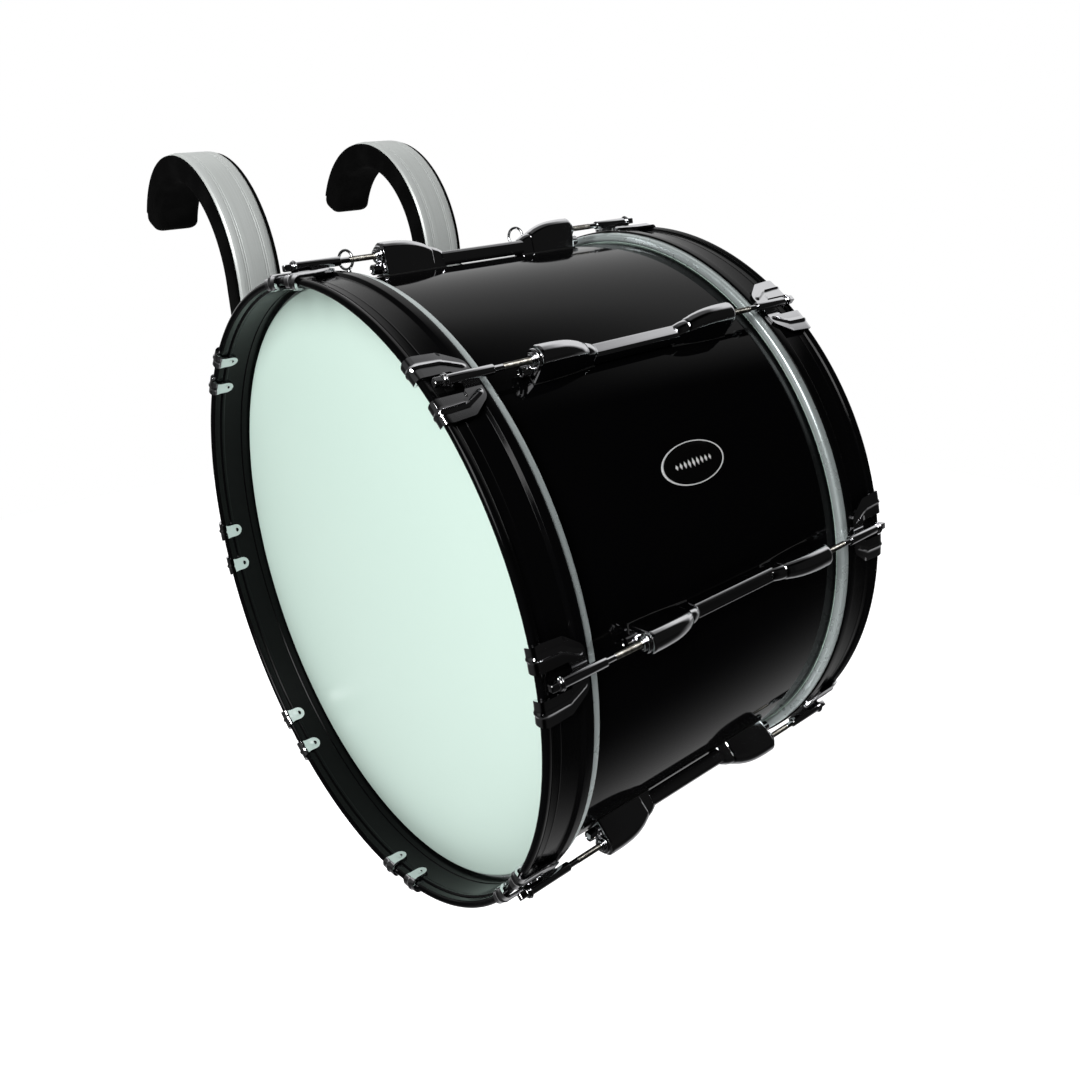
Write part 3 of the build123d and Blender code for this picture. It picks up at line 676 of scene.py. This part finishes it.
def finger_skin(columns=17):
    """One finger as two skins, the sheet's outer and inner face, on the +Y side."""
    plate, wrap, tongue = finger_path()
    path = np.array(plate + wrap + tongue, float)
    tangent = np.gradient(path, axis=0)
    tangent /= np.linalg.norm(tangent, axis=1)[:, None]
    outward = np.stack([tangent[:, 1], -tangent[:, 0]], axis=1)
    tongue_half, tongue_middle, tip_r = 7.5, 22.0, 7.5
    first_tongue = len(plate) + len(wrap)
    outer, inner = [], []
    for row, (spot, normal) in enumerate(zip(path, outward)):
        on_tongue = row >= first_tongue
        narrowing = np.clip((row - len(plate) - len(wrap) * 0.45) / (len(wrap) * 0.6), 0, 1)
        low = CLAW_GAP + (tongue_middle - tongue_half - CLAW_GAP) * narrowing
        high = wing_edge(spot[0]) + (tongue_middle + tongue_half - wing_edge(spot[0])) * narrowing
        if on_tongue and spot[0] > 20 - tip_r:
            share = (spot[0] - (20 - tip_r)) / tip_r
            half = max(0.5, tongue_half * math.sqrt(max(0.0, 1 - share * share)))
            low, high = tongue_middle - half, tongue_middle + half
        for column in range(columns):
            across = low + (high - low) * column / (columns - 1)
            fade = 1 - narrowing
            rise = rib_rise(spot[0] if row < len(plate) else 0.0, across) * fade
            if on_tongue:
                dimple = math.hypot(spot[0] - 12.5, across - tongue_middle)
                rise = -0.9 * max(0.0, 1 - (dimple / 3.6) ** 2)
            for skin, offset in ((outer, rise), (inner, rise * 0.6 - CLAW_SHEET)):
                x, radius = spot + normal * offset
                skin.append(wrapped(depth(x), across, radius))
    return outer, inner, len(path), columns


def wrapped(x, across, radius):
    """A point bent round the hoop, so that the plate follows its curve."""
    angle = across / CROWN_R
    return (x, radius * math.sin(angle), radius * math.cos(angle))


def two_skins(outer, inner, rows, columns):
    """Closed sheet between an outer and an inner grid of points."""
    count = rows * columns
    top = grid_faces(rows, columns)
    bottom = [tuple(count + i for i in reversed(face)) for face in top]
    rim = [row * columns for row in range(rows)]
    rim += [(rows - 1) * columns + column for column in range(1, columns)]
    rim += [row * columns + columns - 1 for row in range(rows - 2, -1, -1)]
    rim += list(range(columns - 2, 0, -1))
    sides = [(a, b, b + count, a + count) for a, b in zip(rim, rim[1:] + rim[:1])]
    return outer + inner, top + bottom + sides


def rear_plate():
    """The plate behind the fingers, across the whole claw, with the round end of the gap."""
    rows = 14
    front_half = wing_edge(CLAW_GAP_END)
    outer, inner = [], []
    places = np.concatenate([
        np.linspace(0, CLAW_GAP, 10, endpoint=False),
        np.linspace(CLAW_GAP, front_half, 17),
    ])
    across_front = np.concatenate([-places[:0:-1], places])
    for row in range(rows):
        share = row / (rows - 1)
        for front in across_front:
            gap_end = CLAW_GAP_END + 2.8 * max(0.0, 1 - (abs(front) / CLAW_GAP) ** 4)
            corner = 2.2 * max(0.0, (abs(front) / front_half) ** 8)
            back = gap_end + share * (CLAW_REAR - corner - gap_end)
            edge = wing_edge(CLAW_GAP_END + share * (CLAW_REAR - CLAW_GAP_END))
            across = front * edge / front_half
            rise = rib_rise(back, across)
            outer.append(wrapped(depth(back), across, CLAW_TOP + rise))
            inner.append(wrapped(depth(back), across, CLAW_TOP + rise * 0.6 - CLAW_SHEET))
    return two_skins(outer, inner, rows, len(across_front))


def claw_sleeve():
    """Rolled sleeve for the rod, on a pinched foot that spreads into the plate."""
    sleeve = ring(rounded([
        (depth(15.5), 3.45),
        (depth(15.5), 4.5),
        (depth(60.0), 4.5),
        (depth(60.0), 3.45),
    ], 0.5, 3), 40, ROD_R)
    foot = rounded([
        (-6.4, CLAW_TOP - 0.6),
        (-3.4, CLAW_TOP + 0.5),
        (-2.5, ROD_R - 3.9),
        (-3.1, ROD_R - 2.2),
        (3.1, ROD_R - 2.2),
        (2.5, ROD_R - 3.9),
        (3.4, CLAW_TOP + 0.5),
        (6.4, CLAW_TOP - 0.6),
    ], 1.4)
    return joined(sleeve, bar_x(foot, depth(31.0), depth(CLAW_REAR)))


def make_claws():
    finger = two_skins(*finger_skin())
    shape = joined(finger, mirrored(finger), rear_plate(), claw_sleeve())
    mesh = make_mesh("claw", *shape, smooth_angle=40.0)
    for side in ("right", "left"):
        for number, angle in enumerate(LUG_ANGLES, start=1):
            place = turned_to(angle, side == "left")
            add_piece(f"claw_{side}_{number}", mesh, "black_chrome", "drum", place, [f"claws_{side}"])


# ---------------------------------------------------------------- tension rods
KEY_SQUARE = 6.35
THREAD_PITCH = 1.06
THREAD_R = 3.0


def key_head():
    """Square head with a domed, chamfered end, on a round collar."""
    half = KEY_SQUARE / 2
    outline = rounded([(-half, -half), (half, -half), (half, half), (-half, half)], 0.7, 3)
    rings = ((3.9, 0.62), (4.3, 0.86), (5.1, 1.0), (11.6, 1.0), (12.4, 1.0))
    points = []
    for place, share in rings:
        points += [(depth(place), y * share, ROD_R + z * share) for y, z in outline]
    faces = grid_faces(len(rings), len(outline), False, True)
    faces.append(tuple(range(len(outline))))
    collar = turned([
        (depth(11.4), 0.0),
        (depth(11.4), 3.6),
        (depth(12.0), 5.0),
        (depth(12.7), 5.6),
        (depth(13.5), 5.6),
        (depth(14.0), 5.2),
        (depth(14.0), 0.0),
    ], 40, ROD_R)
    return joined((points, faces), collar)


def rod_shank():
    return turned([
        (depth(13.5), 0.0),
        (depth(13.5), 2.8),
        (depth(69.2), 2.8),
        (depth(70.2), 2.45),
        (depth(70.2), 0.0),
    ], 28, ROD_R)


def rod_thread():
    """Helical thread: the radius rises and falls with the turn and the place along the rod."""
    start, end, around_steps, per_pitch = 69.8, 112.0, 20, 5
    rows = int((end - start) / THREAD_PITCH * per_pitch)
    thread_depth = 0.55
    points = []
    for row in range(rows):
        place = start + row * THREAD_PITCH / per_pitch
        for step in range(around_steps):
            share = (place / THREAD_PITCH + step / around_steps) % 1.0
            radius = THREAD_R - thread_depth * abs(2 * share - 1)
            angle = 2 * math.pi * step / around_steps
            points.append((depth(place), radius * math.sin(angle), ROD_R + radius * math.cos(angle)))
    return points, grid_faces(rows, around_steps, False, True)


def make_rods():
    mesh = make_mesh("tension_rod", *joined(key_head(), rod_shank(), rod_thread()), smooth_angle=38.0)
    mesh.materials.append(MATERIALS["black_chrome"])
    mesh.materials.append(THREAD_MATERIAL)
    thread_start = depth(70.0) * MM
    for polygon in mesh.polygons:
        polygon.material_index = 1 if polygon.center.x > thread_start else 0
    for side in ("right", "left"):
        for number, angle in enumerate(LUG_ANGLES, start=1):
            node = f"tension_rod_{side}_{number}"
            place = turned_to(angle, side == "left")
            add_piece(f"{node}_cut", mesh, "black_chrome", node, place, [node])


# ---------------------------------------------------------------- lugs
LUG_BODY = 55.0
LUG_END = 68.0


def lug_section(back, half_base, top, top_r, inset=0.0):
    """Arch across a casting: leaning flanks under an elliptic ridge."""
    half_base, top, top_r = half_base - inset, top - inset, top_r - inset * 0.5
    foot, lean, ridge = -0.5, (half_base - top_r) * 0.9, top_r * 0.85
    flank_steps, ridge_steps = 9, 16
    outline = []
    for step in range(flank_steps):
        share = step / flank_steps
        outline.append((half_base - lean * share, foot + (top - ridge - foot) * share))
    for step in range(ridge_steps + 1):
        turn = math.radians(90 * step / ridge_steps)
        across = math.cos(turn) * (half_base - lean)
        outline.append((across, top - ridge * (1 - math.sin(turn))))
    outline += [(-y, z) for y, z in reversed(outline[:-1])]
    return [(depth(LUG_FACE + back), y, SHELL_R + z) for y, z in outline]


def lofted(sections):
    """Closed skin through sections that all have the same number of points."""
    columns = len(sections[0])
    points = [p for section in sections for p in section]
    last = (len(sections) - 1) * columns
    return points, [
        *grid_faces(len(sections), columns, False, True),
        tuple(range(columns)),
        tuple(last + i for i in reversed(range(columns))),
    ]


def lug_body():
    """Main part of a casting: a high round ridge that stays level, then dips to the collar."""
    places = (0.0, 9.0, 18.0, 29.0, 38.0, 47.0, 55.0)
    bases = (11.2, 11.2, 11.1, 10.7, 10.2, 9.5, 8.8)
    tops = (32.0, 32.1, 31.9, 31.0, 29.2, 26.2, 22.5)
    radii = (10.0, 10.0, 9.9, 9.6, 9.1, 8.3, 7.4)
    front = bases[0], tops[0], radii[0]
    rounding = ((0.0, 1.3), (0.35, 0.5), (1.2, 0.0))
    sections = [lug_section(back, *front, inset) for back, inset in rounding]
    for back in np.linspace(3.0, LUG_BODY - 0.8, 22):
        shape = [float(smooth_between(back, places, values)) for values in (bases, tops, radii)]
        sections.append(lug_section(back, *shape))
    sections.append(lug_section(LUG_BODY, 8.8, 22.5, 7.4, 0.7))
    return lofted(sections)


def smooth_between(place, places, values):
    """Value at a place on a smooth curve through the given values (Catmull-Rom)."""
    index = int(np.clip(np.searchsorted(places, place) - 1, 0, len(places) - 2))
    share = (place - places[index]) / (places[index + 1] - places[index])
    before = values[max(index - 1, 0)]
    start, end = values[index], values[index + 1]
    after = values[min(index + 2, len(values) - 1)]
    return 0.5 * (
        2 * start
        + (end - before) * share
        + (2 * before - 5 * start + 4 * end - after) * share ** 2
        + (3 * start - before - 3 * end + after) * share ** 3
    )


def lug_collar():
    """Short block between the casting and the bar, a hair narrower than the casting's end."""
    return lofted([
        lug_section(LUG_BODY - 1.0, 8.3, 21.5, 6.9),
        lug_section(LUG_BODY + 1.5, 8.3, 21.5, 6.9),
        lug_section(LUG_BODY + 7.0, 8.1, 19.8, 6.5),
        lug_section(LUG_END - 0.7, 7.7, 17.0, 6.0),
        lug_section(LUG_END, 7.7, 17.0, 6.0, 0.7),
    ])


def lug_bosses():
    """Thick ring round the nut and the plain boss under it."""
    face = LUG_FACE
    nut_ring = ring(rounded([
        (depth(face - 3.0), 5.1),
        (depth(face - 3.0), 9.5),
        (depth(face + 8.0), 9.5),
        (depth(face + 8.0), 5.1),
    ], 1.3), 44, ROD_R)
    foot_boss = turned([
        (depth(face - 10.2), 0.0),
        (depth(face - 10.2), 3.3),
        (depth(face - 11.0), 3.9),
        (depth(face - 10.8), 4.8),
        (depth(face - 10.1), 5.2),
        (depth(face + 4.0), 5.2),
        (depth(face + 4.0), 0.0),
    ], 36, SHELL_R + 7)
    return joined(nut_ring, foot_boss)


def lug_bar():
    """Bevelled bar that joins the two castings, close over the shell."""
    half, bevel = 7.2, 2.4
    bottom, top = SHELL_R + 1.0, SHELL_R + 15.2
    outline = rounded([
        (-half, bottom),
        (half, bottom),
        (half, top - bevel),
        (half - bevel, top),
        (bevel - half, top),
        (-half, top - bevel),
    ], 1.2, 3)
    end = depth(LUG_FACE + LUG_END - 2.0)
    return bar_x(outline, end, -end)


def make_lugs():
    casting = joined(lug_body(), lug_collar(), lug_bosses())
    mesh = make_mesh("lug", *joined(casting, turned_end(casting), lug_bar()), smooth_angle=32.0)
    for number, angle in enumerate(LUG_ANGLES, start=1):
        node = f"lug_{number}"
        add_piece(f"{node}_cast", mesh, "black_chrome", "drum", turned_to(angle), [node])


def make_swivel_nuts():
    """Flanged nut in each lug face, with the chamfered bore that the rod goes into."""
    face = LUG_FACE
    nut = ring(rounded([
        (depth(face - 6.2), 3.3),
        (depth(face - 6.2), 4.6),
        (depth(face - 5.5), 5.0),
        (depth(face - 5.3), 6.6),
        (depth(face - 3.0), 6.6),
        (depth(face - 3.0), 5.0),
        (depth(face + 12.0), 5.0),
        (depth(face + 12.0), 3.3),
    ], 0.5, 3), 40, ROD_R)
    washer = ring(rounded([
        (depth(14.05), 3.2),
        (depth(14.05), 6.3),
        (depth(15.4), 6.3),
        (depth(15.4), 3.2),
    ], 0.4, 3), 40, ROD_R)
    for name, shape in (("swivel_nut", nut), ("rod_washer", washer)):
        mesh = make_mesh(name, *shape)
        for side in ("right", "left"):
            for number, angle in enumerate(LUG_ANGLES, start=1):
                place = turned_to(angle, side == "left")
                piece_name = f"{name}_{side}_{number}"
                add_piece(piece_name, mesh, "black_chrome", "drum", place, [f"{name}s"])


# ---------------------------------------------------------------- shell fittings
def stood(shape, x=0.0):
    """A shape turned about X stood up, so that its X points away from the drum's axis."""
    points, faces = shape
    return [(x - p[2], p[1], p[0]) for p in points], faces


def bent_to_shell(x, across, radius):
    """A point of a flat plate laid on the shell at that radius."""
    angle = across / SHELL_R
    return (x, radius * math.sin(angle), radius * math.cos(angle))


BADGE_STEPS = 120                # points round each of the badge's ovals


def badge_rings(profile):
    """Ovals on the shell, one for each (share of the badge's size, height) of the profile."""
    half_long, half_short = 38.0, 19.5
    points = []
    for share, height in profile:
        for step in range(BADGE_STEPS):
            angle = 2 * math.pi * step / BADGE_STEPS
            x = half_long * math.cos(angle) * share
            across = half_short * math.sin(angle) * share
            points.append(bent_to_shell(x, across, SHELL_R + height))
    return points


def badge_field():
    edge = [(0.975, 0.1), (0.975, 0.85)]
    face = [(share, 1.0) for share in (0.96, 0.5, 0.2, 0.02)]
    faces = grid_faces(6, BADGE_STEPS, False, True)
    middle = tuple(range(5 * BADGE_STEPS, 6 * BADGE_STEPS))
    return badge_rings(edge + face), faces + [middle]


def badge_rim():
    outside = [(1.0, 0.05), (1.0, 0.85), (0.99, 1.1)]
    inside = [(0.955, 1.1), (0.945, 0.9), (0.945, 0.05)]
    return badge_rings(outside + inside), grid_faces(6, BADGE_STEPS, True, True)


def badge_marks():
    """A row of small raised lozenges, taller in the middle."""
    lozenges, pitch, wide = 9, 5.2, 1.9
    low, high = SHELL_R + 0.9, SHELL_R + 1.12
    shapes = []
    for number in range(lozenges):
        off_middle = number - (lozenges - 1) / 2
        middle = off_middle * pitch
        tall = 4.6 - 0.42 * abs(off_middle)
        outline = [(-wide, 0.0), (0.0, -tall), (wide, 0.0), (0.0, tall)]
        points = [bent_to_shell(middle + x, t, low) for x, t in outline]
        points += [bent_to_shell(middle + x * 0.8, t * 0.8, high) for x, t in outline]
        shapes.append((points, grid_faces(2, 4, False, True) + [(4, 5, 6, 7), (3, 2, 1, 0)]))
    return joined(*shapes)


def make_badge():
    place = turned_to(BADGE_ANGLE)
    field = make_mesh("badge_field", *badge_field())
    add_piece("badge_field", field, "badge_plate", "drum", place, ["badge"])
    for name, shape in (("badge_rim", badge_rim()), ("badge_marks", badge_marks())):
        mesh = make_mesh(name, *shape)
        mesh.materials.append(BADGE_SILVER)
        add_piece(name, mesh, "badge_plate", "drum", place)


def eye_shape():
    """Wire eye on a tapered neck and a domed collar, at the top of the drum."""
    wire_r, eye_r, eye_height = 1.5, 9.7, 334.5
    circle = [
        (wire_r * math.cos(2 * math.pi * step / 20), eye_r + wire_r * math.sin(2 * math.pi * step / 20))
        for step in range(20)
    ]
    eye, faces = ring(circle, 72)
    about_stem = Matrix.Rotation(math.radians(20), 3, "Z")
    eye = [about_stem @ Vector(p) + Vector((0, 0, eye_height)) for p in eye]
    stem = turned([
        (SHELL_R, 0.0),
        (SHELL_R, 8.0),
        (SHELL_R + 1.4, 8.0),
        (SHELL_R + 2.6, 7.0),
        (SHELL_R + 3.2, 5.2),
        (SHELL_R + 4.4, 3.4),
        (SHELL_R + 9.0, 2.7),
        (eye_height - 13.0, 2.6),
        (eye_height - 10.6, 2.0),
        (eye_height - 9.8, 0.0),
    ], 40)
    return joined((eye, faces), stood(stem))


def make_eyebolts():
    mesh = make_mesh("eyebolt", *eye_shape())
    for side, x in (("right", -EYEBOLT_X), ("left", EYEBOLT_X)):
        place = turned_to(EYEBOLT_ANGLE, x=x)
        add_piece(f"eyebolt_{side}", mesh, "chrome_steel", "drum", place, ["eyebolts"])


def make_air_vent():
    grommet = ring(rounded([
        (SHELL_R - SHELL_WALL - 1.4, 4.0),
        (SHELL_R - SHELL_WALL - 1.4, 5.9),
        (SHELL_R, 5.9),
        (SHELL_R, 9.0),
        (SHELL_R + 0.9, 9.0),
        (SHELL_R + 1.6, 7.4),
        (SHELL_R + 1.6, 5.0),
        (SHELL_R + 0.8, 4.0),
    ], 0.5, 3), 48)
    mesh = make_mesh("air_vent", *stood(grommet))
    add_piece("air_vent_grommet", mesh, "chrome_steel", "drum", turned_to(VENT_ANGLE), ["air_vent"])


# ---------------------------------------------------------------- carrier
ARCH_R = ARCH_Y - BAR_FRONT_Y


def bar_point(travel, across, inward):
    """A point of a shoulder bar or pad: travel along the bar's face, across it, and under it."""
    upright = ARCH_Z - BAR_BOTTOM_Z
    if travel <= upright:
        return (across, BAR_FRONT_Y + inward, BAR_BOTTOM_Z + travel)
    turn = (travel - upright) / ARCH_R
    radius = ARCH_R - inward
    return (across, ARCH_Y - radius * math.cos(turn), ARCH_Z + radius * math.sin(turn))


def swept(outline, travels):
    """A closed (across, inward) outline carried along the bar, with capped ends."""
    sections = [[bar_point(travel, u, w) for u, w in outline] for travel in travels]
    return lofted(sections)


def bar_outline():
    """Extruded strip: bevelled edges and two pairs of shallow grooves down its face."""
    half = BAR_WIDTH / 2
    groove_middles = (-13.6, -11.0, 11.0, 13.6)
    groove_half, groove_depth = 0.75, 0.2
    outline = [(-half, 2.4), (-half + 2.6, 0.5), (-half + 6.0, 0.0)]
    for middle in groove_middles:
        outline += [
            (middle - groove_half, 0.0),
            (middle - groove_half * 0.5, groove_depth),
            (middle + groove_half * 0.5, groove_depth),
            (middle + groove_half, 0.0),
        ]
    outline += [
        (half - 6.0, 0.0),
        (half - 2.6, 0.5),
        (half, 2.4),
        (half, BAR_THICK),
        (-half, BAR_THICK),
    ]
    return rounded(outline, 1.6, 3)


def bar_travels(start, end, step=4.0):
    return list(np.linspace(start, end, max(2, int((end - start) / step))))


def make_shoulder_bars():
    upright = ARCH_Z - BAR_BOTTOM_Z
    end = upright + math.radians(ARCH_SWEEP) * ARCH_R
    travels = [0.0] + bar_travels(1.0, upright, 12.0) + bar_travels(upright, end, 3.5)[1:]
    mesh = make_mesh("shoulder_bar", *swept(bar_outline(), travels), smooth_angle=24.0)
    for side, x in (("right", -BAR_X), ("left", BAR_X)):
        place = turned_to(0, x=x)
        name = f"shoulder_bar_{side}"
        add_piece(f"{name}_brushed", mesh, "brushed_aluminium", "carrier", place, [name])


def pad_outline(channel):
    """Foam section: soft corners, a slight crown, and the channel that the bar lies in."""
    half, back = PAD_WIDTH / 2 - 0.2, BAR_THICK + PAD_THICK - 1.0
    bar_half, lip = BAR_WIDTH / 2 - 0.1, BAR_THICK - PAD_LIP + 0.1
    if channel:
        corners = [
            (bar_half, BAR_THICK - 0.05),
            (bar_half, lip),
            (half, lip),
            (half, back),
            (-half, back),
            (-half, lip),
            (-bar_half, lip),
            (-bar_half, BAR_THICK - 0.05),
        ]
    else:
        corners = [(half, 0.3), (half, back), (-half, back), (-half, 0.3)]
    crowned = []
    for u, w in rounded(corners, 8.5, 7):
        bulge = 0.9 * math.cos(math.pi * u / (2 * half)) if w > back / 2 else 0.0
        crowned.append((u, w + bulge))
    return crowned


def drawn_in(outline, inset):
    """A foam section pulled in by about that much on every side."""
    half, half_thick = PAD_WIDTH / 2, (BAR_THICK + PAD_THICK) / 2
    across, through = 1 - inset / half, 1 - inset / half_thick
    return [(u * across, half_thick + (w - half_thick) * through) for u, w in outline]


def round_end(length, depth_in, steps=7):
    """(distance from the end, inset) pairs for a quarter-round end."""
    pairs = []
    for step in range(steps + 1):
        turn = math.radians(90 * step / steps)
        pairs.append((length * (1 - math.cos(turn)), depth_in * (1 - math.sin(turn))))
    return pairs


def pad_skin(outline, travels):
    """Foam skin through (travel, inset) pairs."""
    return lofted([
        [bar_point(travel, u, w) for u, w in drawn_in(outline, inset)] for travel, inset in travels
    ])


def make_shoulder_pads():
    upright = ARCH_Z - BAR_BOTTOM_Z
    start = PAD_BOTTOM_Z - BAR_BOTTOM_Z
    bar_end = upright + math.radians(ARCH_SWEEP) * ARCH_R + 0.3
    tip = upright + math.radians(PAD_SWEEP) * ARCH_R
    strip = [(start + distance, inset) for distance, inset in round_end(4.0, 2.5)]
    strip += [(travel, 0.0) for travel in bar_travels(start + 8.0, bar_end, 5.0)]
    cap = [(bar_end, 0.0), (bar_end + 3.0, 0.0)]
    cap += [(tip - distance, inset) for distance, inset in reversed(round_end(15.0, 11.5))]
    shape = joined(pad_skin(pad_outline(True), strip), pad_skin(pad_outline(False), cap))
    mesh = make_mesh("shoulder_pad", *shape, smooth_angle=60.0)
    for side, x in (("right", -BAR_X), ("left", BAR_X)):
        name = f"shoulder_pad_{side}"
        piece = add_piece(f"{name}_foam", mesh, "black_foam", "carrier", turned_to(0, x=x), [name])


def belly_pad_sections():
    """Rings of (x, y, z) about the middle of the pad's back: up its rim and in over its face."""
    low, high = (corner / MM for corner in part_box("belly_pad"))
    half_x, half_z = (high.x - low.x) / 2, (high.z - low.z) / 2
    thick = high.y - low.y
    corners = [(-half_x, -half_z), (half_x, -half_z), (half_x, half_z), (-half_x, half_z)]
    outline = rounded(corners, 24, 10)
    rim = []
    for number, start in enumerate(outline):
        end = outline[(number + 1) % len(outline)]
        pieces = max(1, int(math.dist(start, end) / 6))
        rim += [np.array(start) + (np.array(end) - start) * i / pieces for i in range(pieces)]
    edge = 9.0
    profile = [(0.0, 0.0), (0.8, 0.3 * thick)]
    for angle in range(0, 91, 15):
        turn = math.radians(angle)
        profile.append((edge * (1 - math.cos(turn)), thick - edge * (1 - math.sin(turn))))
    profile += [(inset, thick) for inset in np.linspace(edge, half_z - 1, 24)[1:]]
    sections = []
    for inset, y in profile:
        shrink = np.array(((half_x - inset) / half_x, (half_z - inset) / half_z))
        spots = [spot * shrink for spot in rim]
        sections.append([(x, y - sewn_channel(z) * (y > thick - 4), z) for x, z in spots])
    return sections


def sewn_channel(z):
    """Depth of the two channels sewn across the belly pad at that height."""
    channel_z, channel_half, channel_depth = 30.0, 6.0, 3.5
    near = max(0.0, 1 - abs(abs(z) - channel_z) / channel_half)
    return channel_depth * near * near * (3 - 2 * near)


def make_belly_pad():
    low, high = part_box("belly_pad")
    middle = Vector(((low.x + high.x) / 2, low.y, (low.z + high.z) / 2))
    mesh = make_mesh("belly_pad", *lofted(belly_pad_sections()), smooth_angle=60.0)
    mesh.materials.append(BELLY_COVER)
    place = Matrix.Translation(middle)
    piece = add_piece("belly_pad_sewn", mesh, "black_foam", "carrier", place, ["belly_pad"])


def soften(node, slot, body):
    """Stand in for a CAD piece with a copy whose hard edges have a small bevel."""
    width = 0.6 * MM
    mesh = frame["nodes"][node].data.copy()
    mesh.name = f"{node}_bevelled"
    work = bmesh.new()
    work.from_mesh(mesh)
    bmesh.ops.remove_doubles(work, verts=work.verts, dist=1e-6)
    bmesh.ops.dissolve_limit(work, angle_limit=math.radians(1.0), verts=work.verts, edges=work.edges)
    shared = [edge for edge in work.edges if len(edge.link_faces) == 2]
    hard = [edge for edge in shared if edge.calc_face_angle() > math.radians(40)]
    bmesh.ops.bevel(
        work, geom=hard, offset=width, segments=2, profile=0.6, affect="EDGES", clamp_overlap=True
    )
    bmesh.ops.triangulate(work, faces=[f for f in work.faces if len(f.verts) > 4])
    work.to_mesh(mesh)
    work.free()
    mesh.materials.clear()
    mesh.shade_smooth()
    mesh.set_sharp_from_angle(angle=math.radians(30))
    add_piece(f"{node}_finished", mesh, slot, body, Matrix.Identity(4), [node])


def make_carrier_fittings():
    for side in ("right", "left"):
        soften(f"saddle_{side}", "black_aluminium", "drum")
    soften("belly_plate", "brushed_aluminium", "carrier")


make_camera()
make_world()
make_stage()
make_light()
finish_cad_nodes()
make_drum_body()
make_claws()
make_rods()
make_lugs()
make_swivel_nuts()
make_badge()
make_eyebolts()
make_air_vent()
make_shoulder_bars()
make_shoulder_pads()
make_belly_pad()
make_carrier_fittings()

bpy.context.scene.view_settings.view_transform = "Standard"
